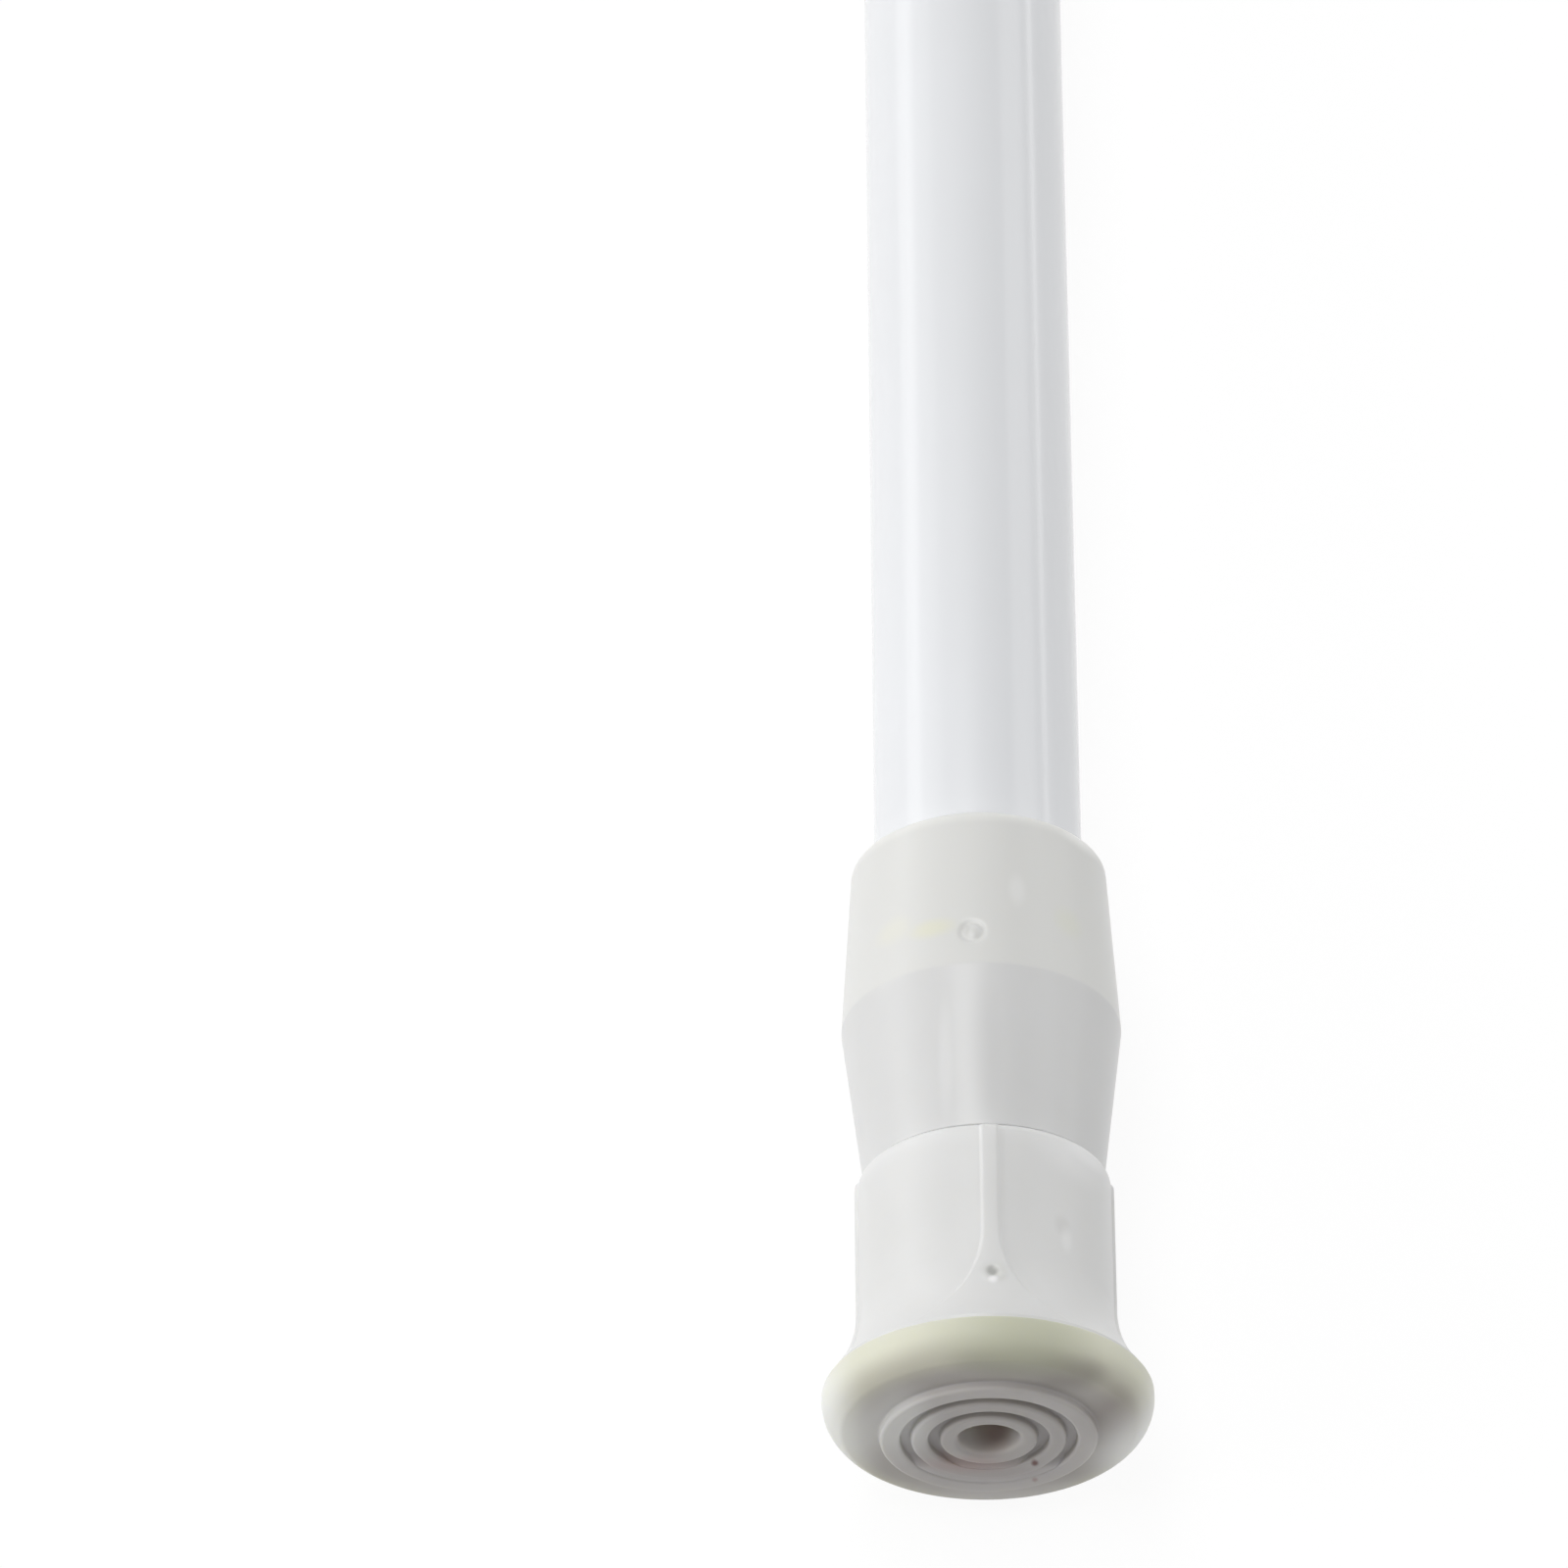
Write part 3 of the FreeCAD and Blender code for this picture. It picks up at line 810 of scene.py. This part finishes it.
# Painted light on the side, yellow-green where light comes through the thin rubber, and the pale wall of the
# hole.
graded(cream_rubber, "From Wall", 0.0012, 0.0040, 1.0, (0.69, 0.69, 0.57))
graded(cream_rubber, "From Axis", 0.0035, 0.0030, 0.9, (0.66, 0.63, 0.61))
spotted(
    cream_rubber,
    [
        # Painted shade: a brown zone on the face, above the rings and to the right of them.
        ((0.0015, 0.0025, 0.0146), (0.0019, 0.0085, 0.0034), 0.8, (0.20, 0.183, 0.16)),
        ((0.0014, 0.0078, 0.0120), (0.0020, 0.0062, 0.0040), 0.6, (0.22, 0.20, 0.175)),
        ((0.0011, 0.0126, 0.0035), (0.0017, 0.0040, 0.0090), 0.65, (0.25, 0.215, 0.195)),
        # Painted yellow-green glow at the top of the side, where light comes through the thin rubber.
        ((0.0035, 0.003, 0.0165), (0.006, 0.012, 0.0065), 0.8, (0.51, 0.52, 0.40)),
        # Painted light: the outer ring's left, and the side's left, right and bottom.
        ((0.0, -0.0092, 0.0032), (0.003, 0.0050, 0.0100), 0.65, (0.67, 0.67, 0.65)),
        ((0.003, -0.0168, -0.002), (0.007, 0.008, 0.015), 0.9, (0.83, 0.835, 0.80)),
        ((0.002, 0.0170, -0.0045), (0.007, 0.0086, 0.0135), 0.92, (0.86, 0.86, 0.84)),
        ((0.003, 0.003, -0.0162), (0.007, 0.0165, 0.0092), 0.8, (0.61, 0.59, 0.575)),
        # Dirt in the lower grooves, reddish on the left, and painted shade in the hole.
        ((0.0005, 0.0006, -0.0065), (0.003, 0.0075, 0.0028), 0.6, (0.35, 0.315, 0.305)),
        ((0.0004, -0.0022, -0.0050), (0.003, 0.0065, 0.0026), 0.55, (0.35, 0.25, 0.235)),
        ((0.003, 0.0008, -0.0028), (0.0035, 0.003, 0.0020), 0.8, (0.31, 0.22, 0.20)),
        # Two red specks.
        ((0.0, 0.00492, -0.00468), (0.0008, 0.00055, 0.0009), 0.95, (0.10, 0.03, 0.025)),
        ((0.0, 0.00507, -0.00835), (0.0008, 0.00045, 0.0007), 0.5, (0.25, 0.12, 0.10)),
    ],
)

pad_fixed = turned("wall_pad_fixed_moulded", pad_outline(), even_angles(pad_columns))
stands_for(pad_fixed, cream_rubber, "outer_pole", "cream_pad", "wall_pad_fixed")


# The guide bush: a flanged liner, moulded in nylon, that stays in the collar, in front of the outer
# tube's mouth. The inner tube slides and turns in it.
nylon = Finish(
    "natural_nylon", (0.72, 0.71, 0.66), (0.66, 0.65, 0.60), (120.0, 1600.0), (0.38, 0.5), 0.000008
)
nylon.on(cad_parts["guide_bush"])


# The collar: a barrel of white plastic, moulded in one piece and glued on the outer tube's mouth. It
# widens from a sloped shoulder to a crease, then narrows. Its gate left a small ring on the top. The
# cone behind the crease has yellowed a little, and has painted light on it where it faces the light.
collar_low, collar_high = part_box("collar")
collar_back = collar_low.x
collar_mouth = collar_high.x
collar_socket_r = 0.01105
collar_socket_edge = 0.0001
collar_back_lip = 0.00035
collar_edge = 0.0002
collar_hole_edge = 0.0003
collar_shoulder_r = 0.0135
collar_shoulder_length = 0.0014
collar_shoulder_round = 0.0009
collar_belly_r = collar_high.z
collar_cone_length = 0.019
collar_front_r = 0.0125
collar_core_r = 0.0104
collar_hole_r = 0.0098
collar_front_wall = 0.0022
bush_flange_depth = 0.00215
collar_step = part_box("guide_bush")[0].x + bush_flange_depth
collar_crease = collar_back + collar_shoulder_length + collar_cone_length
collar_gate = Vector((1.04765, -0.00141))
collar_gate_r = 0.0011
collar_gate_depth = 0.00017
collar_gate_reach = 2.2 * collar_gate_r
gate_rim_width = 0.32
gate_middle_width = 0.5
gate_middle_share = 0.5
collar_first_row = 0.001
collar_row = 0.0012
collar_gate_row = 0.00014
collar_crease_row = 0.0006
collar_close_column = 0.01
collar_wide_column = 0.035
collar_round_steps = 6


def collar_outline():
    """The barrel's section, with close rows round the gate's mark and at the crease."""
    wide_start = collar_back + collar_shoulder_length
    near, far = collar_gate.x - collar_gate_reach, collar_gate.x + collar_gate_reach
    stations = spaced(wide_start + collar_first_row, near, collar_row)
    stations += spaced(near, far, collar_gate_row)[1:]
    stations += spaced(far, collar_crease - collar_crease_row / 2, collar_crease_row)[1:]
    slope = (collar_belly_r - collar_shoulder_r) / collar_cone_length
    corners = [
        (collar_back, collar_socket_r, collar_socket_edge),
        (collar_back, collar_socket_r + collar_back_lip, collar_edge),
        (wide_start, collar_shoulder_r, collar_shoulder_round),
        *[(x, collar_shoulder_r + slope * (x - wide_start)) for x in stations],
        (collar_crease, collar_belly_r, collar_edge),
        (collar_mouth, collar_front_r, collar_edge),
        (collar_mouth, collar_hole_r, collar_hole_edge),
        (collar_mouth - collar_front_wall, collar_hole_r),
        (collar_mouth - collar_front_wall, collar_core_r),
        (collar_step, collar_core_r),
        (collar_step, collar_socket_r),
    ]
    return softened(corners, collar_round_steps)


def collar_angles():
    """Close columns on the top, where the gate's mark is, and wider ones all round."""
    middle = math.atan2(collar_gate.y, collar_belly_r)
    reach = collar_gate_reach / collar_belly_r
    close = spaced(middle - reach, middle + reach, collar_close_column)
    return close + spaced(middle + reach, middle - reach + 2 * math.pi, collar_wide_column)[1:-1]


def stamp(mesh):
    """Presses the gate's ring mark into the top of the collar."""
    for vertex in mesh.vertices:
        if vertex.co.z < collar_front_r:
            continue
        away = (Vector(vertex.co[:2]) - collar_gate).length / collar_gate_r
        rim = math.exp(-(((away - 1) / gate_rim_width) ** 2))
        middle = math.exp(-((away / gate_middle_width) ** 2))
        outward = Vector((0, vertex.co.y, vertex.co.z)).normalized()
        vertex.co += outward * collar_gate_depth * (gate_middle_share * middle - rim)


barrel_plastic = Finish(
    "barrel_plastic", (0.684, 0.684, 0.68), (0.656, 0.656, 0.65), (95.0, 1400.0), (0.285, 0.35), 0.000006
)
barrel_plastic.lit_inside(0.12, plastic_reach)
crease_from_wall = rod_length - collar_crease
# Painted light: the cone behind the crease faces the light and is painted lighter, and it has yellowed a
# little.
lit_yellowed_cone_tone = (0.70, 0.70, 0.68)
graded(barrel_plastic, "From Wall", crease_from_wall - 0.0002, crease_from_wall + 0.0004, 1.0, lit_yellowed_cone_tone)
# Painted highlight: a pale band along the shoulder's edge.
back_from_wall = rod_length - collar_back
shoulder_highlight_tone = (0.80, 0.80, 0.77)
graded(barrel_plastic, "From Wall", back_from_wall - 0.0028, back_from_wall - 0.0014, 0.7, shoulder_highlight_tone)
spotted(
    barrel_plastic,
    [
        # Yellow marks beside the gate.
        ((0.0533, -0.0056, 0.0133), (0.0016, 0.0036, 0.003), 0.42, (0.76, 0.75, 0.52)),
        ((0.0545, -0.0095, 0.0107), (0.0022, 0.003, 0.004), 0.3, (0.78, 0.77, 0.62)),
        ((0.0553, 0.0088, 0.0112), (0.0026, 0.0025, 0.003), 0.3, (0.70, 0.71, 0.56)),
        # A pale blotch on the wide half, and a painted highlight at the shoulder's right end.
        ((0.0578, 0.0034, 0.0137), (0.0028, 0.0013, 0.002), 0.4, (0.82, 0.82, 0.81)),
        ((0.0675, 0.0106, 0.0085), (0.0022, 0.004, 0.006), 0.8, (0.92, 0.92, 0.90)),
        # A painted highlight streak along the narrow half, with a painted shade streak beside it.
        ((0.0375, -0.0044, 0.0130), (0.0095, 0.0010, 0.004), 0.3, (0.82, 0.82, 0.82)),
        ((0.0388, -0.0003, 0.0134), (0.0105, 0.0024, 0.004), 0.4, (0.575, 0.575, 0.57)),
        # Dirt in the gate's ring.
        ((0.0527, -0.0021, 0.0144), (0.001, 0.0006, 0.002), 0.4, (0.45, 0.44, 0.42)),
    ],
)

collar = turned("collar_moulded", collar_outline(), collar_angles())
stamp(collar.data)
stands_for(collar, barrel_plastic, "outer_pole", "white_cap", "collar")


# The inner tube: 19 mm steel with a 0.5 mm wall, coated like the outer one. Two rolled crimps hold the
# guide plug in its tail and stop the cup that the spring pushes on.
inner_tube_r = 0.0095
inner_tube_wall = 0.0005
inner_tube_columns = 144
crimp_depth = 0.0006
crimp_half_width = 0.0016
crimp_row_step = 0.0002
inner_low, inner_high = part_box("inner_tube")
guide_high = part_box("spindle_guide")[1]
seat_low, seat_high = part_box("spring_seat")
crimp_places = ((inner_low.x + guide_high.x) / 2, seat_high.x + crimp_half_width)


def crimped(x, radius):
    """A point on a wall of the tube, pressed in where a crimp is."""
    away = min(min(abs(x - place) for place in crimp_places) / crimp_half_width, 1)
    return x, radius - crimp_depth * (0.5 + 0.5 * math.cos(math.pi * away))


inner_stations = []
row_start = inner_low.x
for crimp_place in crimp_places:
    crimp_start, crimp_end = crimp_place - crimp_half_width, crimp_place + crimp_half_width
    inner_stations += spaced(row_start, crimp_start, tube_row_step)[1:]
    inner_stations += spaced(crimp_start, crimp_end, crimp_row_step)[1:]
    row_start = crimp_end
inner_stations += spaced(row_start, inner_high.x, tube_row_step)[1:-1]
inner_tube = turned(
    "inner_tube_enamelled",
    tube_outline(
        inner_low.x,
        inner_high.x,
        inner_tube_r,
        inner_tube_wall,
        [crimped(x, inner_tube_r) for x in inner_stations],
        [crimped(x, inner_tube_r - inner_tube_wall) for x in reversed(inner_stations)],
    ),
    even_angles(inner_tube_columns),
)
stands_for(inner_tube, white_enamel, "inner_pole", "white_steel", "inner_tube")


# The sliding end's cap: the same white plastic moulding, pressed on the inner tube. Its crush ribs are
# taller, because that tube is narrower.
cap_sliding = cap_shell("end_cap_sliding_moulded", True)
stands_for(cap_sliding, white_plastic, "inner_pole", "white_cap", "end_cap_sliding")
cap_sliding_ribs = cap_ribs("end_cap_sliding_ribs", inner_tube_r, True)
stands_for(cap_sliding_ribs, white_plastic, "inner_pole", "white_cap", "end_cap_sliding")


# The sliding end's pad: the same cream rubber moulding, snapped into its cap. The lower part of its
# grooves is packed with dirt.
clean_above = -0.0040
packed_below = -0.0058
packed_share = 0.92
packed_depth = pad_ring_height + 0.0001
packed_inside_r = pad_rings[0][0] + 0.0004
packed_outside_r = pad_rings[2][0]


def packed(mesh):
    """Fills the lower part of the grooves between the rings."""
    for vertex in mesh.vertices:
        from_wall = rod_length - vertex.co.x
        radius = math.hypot(vertex.co.y, vertex.co.z)
        if from_wall > packed_depth or not packed_inside_r < radius < packed_outside_r:
            continue
        share = min(max((clean_above - vertex.co.z) / (clean_above - packed_below), 0), 1)
        vertex.co.x += from_wall * packed_share * share * share * (3 - 2 * share)


pad_sliding = turned(
    "wall_pad_sliding_moulded",
    [(rod_length - from_wall, radius) for from_wall, radius in pad_outline()],
    even_angles(pad_columns),
)
packed(pad_sliding.data)
stands_for(pad_sliding, cream_rubber, "inner_pole", "cream_pad", "wall_pad_sliding")


# The nylon parts inside the tubes, moulded and left plain. A hexagonal guide is crimped in the inner
# tube's tail, a slotted expander grips the outer tube, and a cone nut on the spindle spreads it.
for node_name in ("spindle_guide", "expander_collet", "cone_nut"):
    nylon.on(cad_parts[node_name])


# The zinc-plated steel parts inside: two stamped washers, a tapped stop nut, and the drawn cup that
# the spring pushes on, which stands against a crimp.
zinc = Finish("zinc_plate", (0.62, 0.62, 0.63), (0.5, 0.5, 0.51), (160.0, 1900.0), (0.28, 0.45), 0.000006)
zinc.shader.inputs["Metallic"].default_value = 1.0
for node_name in ("thrust_washer", "plunger_washer", "stop_nut", "spring_seat"):
    zinc.on(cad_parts[node_name])


# The spring: hard steel wire, wound 5.5 turns with closed ends. It stands between the washer on the
# spindle's nose and the cup, and shortens as the rod is pressed between the walls.
spring_low, spring_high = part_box("spring")
spring_wire_r = 0.0007
spring_coil_r = 0.0071
spring_turns = 5.5
spring_end_closing = 0.8
spring_wire_sides = 14
spring_steps = 320


def wound_wire_tree():
    """A wire wound round the rod's axis. End closing draws the first and last turns together."""
    sizes = ["Start", "Length", "Turns", "Coil Radius", "Wire Radius", "End Closing"]
    tree, entry = new_tree(
        "wound_wire", [(name, "Float") for name in sizes] + [("Wire Sides", "Int"), ("Steps", "Int")]
    )

    def maths(operation, *values):
        return put(tree, "ShaderNodeMath", dict(enumerate(values)), operation=operation).outputs[0]

    line = put(tree, "GeometryNodeCurvePrimitiveLine")
    rows = put(
        tree, "GeometryNodeResampleCurve", {"Curve": line.outputs[0], "Count": entry.outputs["Steps"]}
    )
    along = put(tree, "GeometryNodeSplineParameter").outputs["Factor"]
    whole_turn = maths("MULTIPLY", along, 2 * math.pi)
    drawn = maths("MULTIPLY", maths("SINE", whole_turn), entry.outputs["End Closing"])
    share = maths("SUBTRACT", along, maths("DIVIDE", drawn, 2 * math.pi))
    angle = maths("MULTIPLY", whole_turn, entry.outputs["Turns"])
    place = put(
        tree,
        "ShaderNodeCombineXYZ",
        {
            "X": maths("MULTIPLY_ADD", share, entry.outputs["Length"], entry.outputs["Start"]),
            "Y": maths("MULTIPLY", maths("SINE", angle), entry.outputs["Coil Radius"]),
            "Z": maths("MULTIPLY", maths("COSINE", angle), entry.outputs["Coil Radius"]),
        },
    )
    path = put(
        tree, "GeometryNodeSetPosition", {"Geometry": rows.outputs[0], "Position": place.outputs[0]}
    )
    section = put(
        tree,
        "GeometryNodeCurvePrimitiveCircle",
        {"Resolution": entry.outputs["Wire Sides"], "Radius": entry.outputs["Wire Radius"]},
    )
    wire = put(
        tree,
        "GeometryNodeCurveToMesh",
        {"Curve": path.outputs[0], "Profile Curve": section.outputs[0], "Fill Caps": True},
    )
    end_tree(tree, entry, wire.outputs[0])
    return tree


wound_wire = wound_wire_tree()
spring_steel = Finish(
    "spring_steel", (0.36, 0.36, 0.38), (0.25, 0.25, 0.27), (200.0, 2400.0), (0.3, 0.5), 0.000005
)
spring_steel.shader.inputs["Metallic"].default_value = 1.0
spring_steel.on(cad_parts["retaining_clip"])
spring = grown(
    "spring_wound",
    wound_wire,
    bpy.data.meshes.new("spring"),
    spring_steel,
    {
        "Start": spring_low.x + spring_wire_r,
        "Length": spring_high.x - spring_low.x - 2 * spring_wire_r,
        "Turns": spring_turns,
        "Coil Radius": spring_coil_r,
        "Wire Radius": spring_wire_r,
        "End Closing": spring_end_closing,
        "Wire Sides": spring_wire_sides,
        "Steps": spring_steps,
    },
)
stands_for(spring, spring_steel, "inner_pole", "spring_steel", "spring")
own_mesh(spring)


# The spindle: a hexagonal steel bar, zinc plated. Its tail is turned down and threaded for the cone
# nut, and its nose has a groove for the clip that keeps the washer on.
spindle_low, spindle_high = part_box("spindle")
spindle_columns = 48
thread_core_r = 0.00238
thread_pitch = 0.002
thread_form_r = 0.00062
thread_chamfer = 0.0006
thread_run_out = 0.0012
thread_sides = 3
thread_steps = 900
hex_flat_r = 0.003
hex_edge = 0.0004
hex_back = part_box("thrust_washer")[1].x
hex_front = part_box("plunger_washer")[0].x
nose_r = 0.0025
nose_edge = 0.0003
groove_r = 0.002
groove_width = 0.0008
groove_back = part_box("plunger_washer")[1].x
groove_front = groove_back + groove_width


def spindle_rings():
    """Rings of six flats along the hexagon, and round ones along the tail and the nose."""
    start, end = spindle_low.x, spindle_high.x
    tail_rows = [
        (start, thread_core_r - thread_chamfer),
        (start + thread_chamfer, thread_core_r),
        (hex_back, thread_core_r),
    ]
    nose_rows = [
        (hex_front, nose_r),
        (groove_back, nose_r),
        (groove_back, groove_r),
        (groove_front, groove_r),
        (groove_front, nose_r),
        (end - nose_edge, nose_r),
        (end, nose_r - nose_edge),
    ]
    angles = even_angles(spindle_columns)
    half_flat = math.radians(30)
    hexagon = [hex_flat_r / math.cos((angle + half_flat) % (2 * half_flat) - half_flat) for angle in angles]
    round_end = [hex_flat_r] * spindle_columns
    rows = [(x, [radius] * spindle_columns) for x, radius in tail_rows]
    rows += [(hex_back, round_end), (hex_back + hex_edge, hexagon)]
    rows += [(hex_front - hex_edge, hexagon), (hex_front, round_end)]
    rows += [(x, [radius] * spindle_columns) for x, radius in nose_rows]
    rings = [[(start, 0, 0)] * spindle_columns]
    for x, radii in rows:
        around = zip(radii, angles)
        rings.append([(x, radius * math.sin(angle), radius * math.cos(angle)) for radius, angle in around])
    rings.append([(end, 0, 0)] * spindle_columns)
    return rings


spindle = skin("spindle_bar", spindle_rings())
stands_for(spindle, zinc, "plunger", "zinc_steel", "spindle")
thread_start = spindle_low.x + thread_chamfer
thread_end = hex_back - thread_run_out
thread = grown(
    "spindle_thread",
    wound_wire,
    bpy.data.meshes.new("thread"),
    zinc,
    {
        "Start": thread_start,
        "Length": thread_end - thread_start,
        "Turns": (thread_end - thread_start) / thread_pitch,
        "Coil Radius": thread_core_r,
        "Wire Radius": thread_form_r,
        "End Closing": 0.0,
        "Wire Sides": thread_sides,
        "Steps": thread_steps,
    },
)
stands_for(thread, zinc, "plunger", "zinc_steel", "spindle")
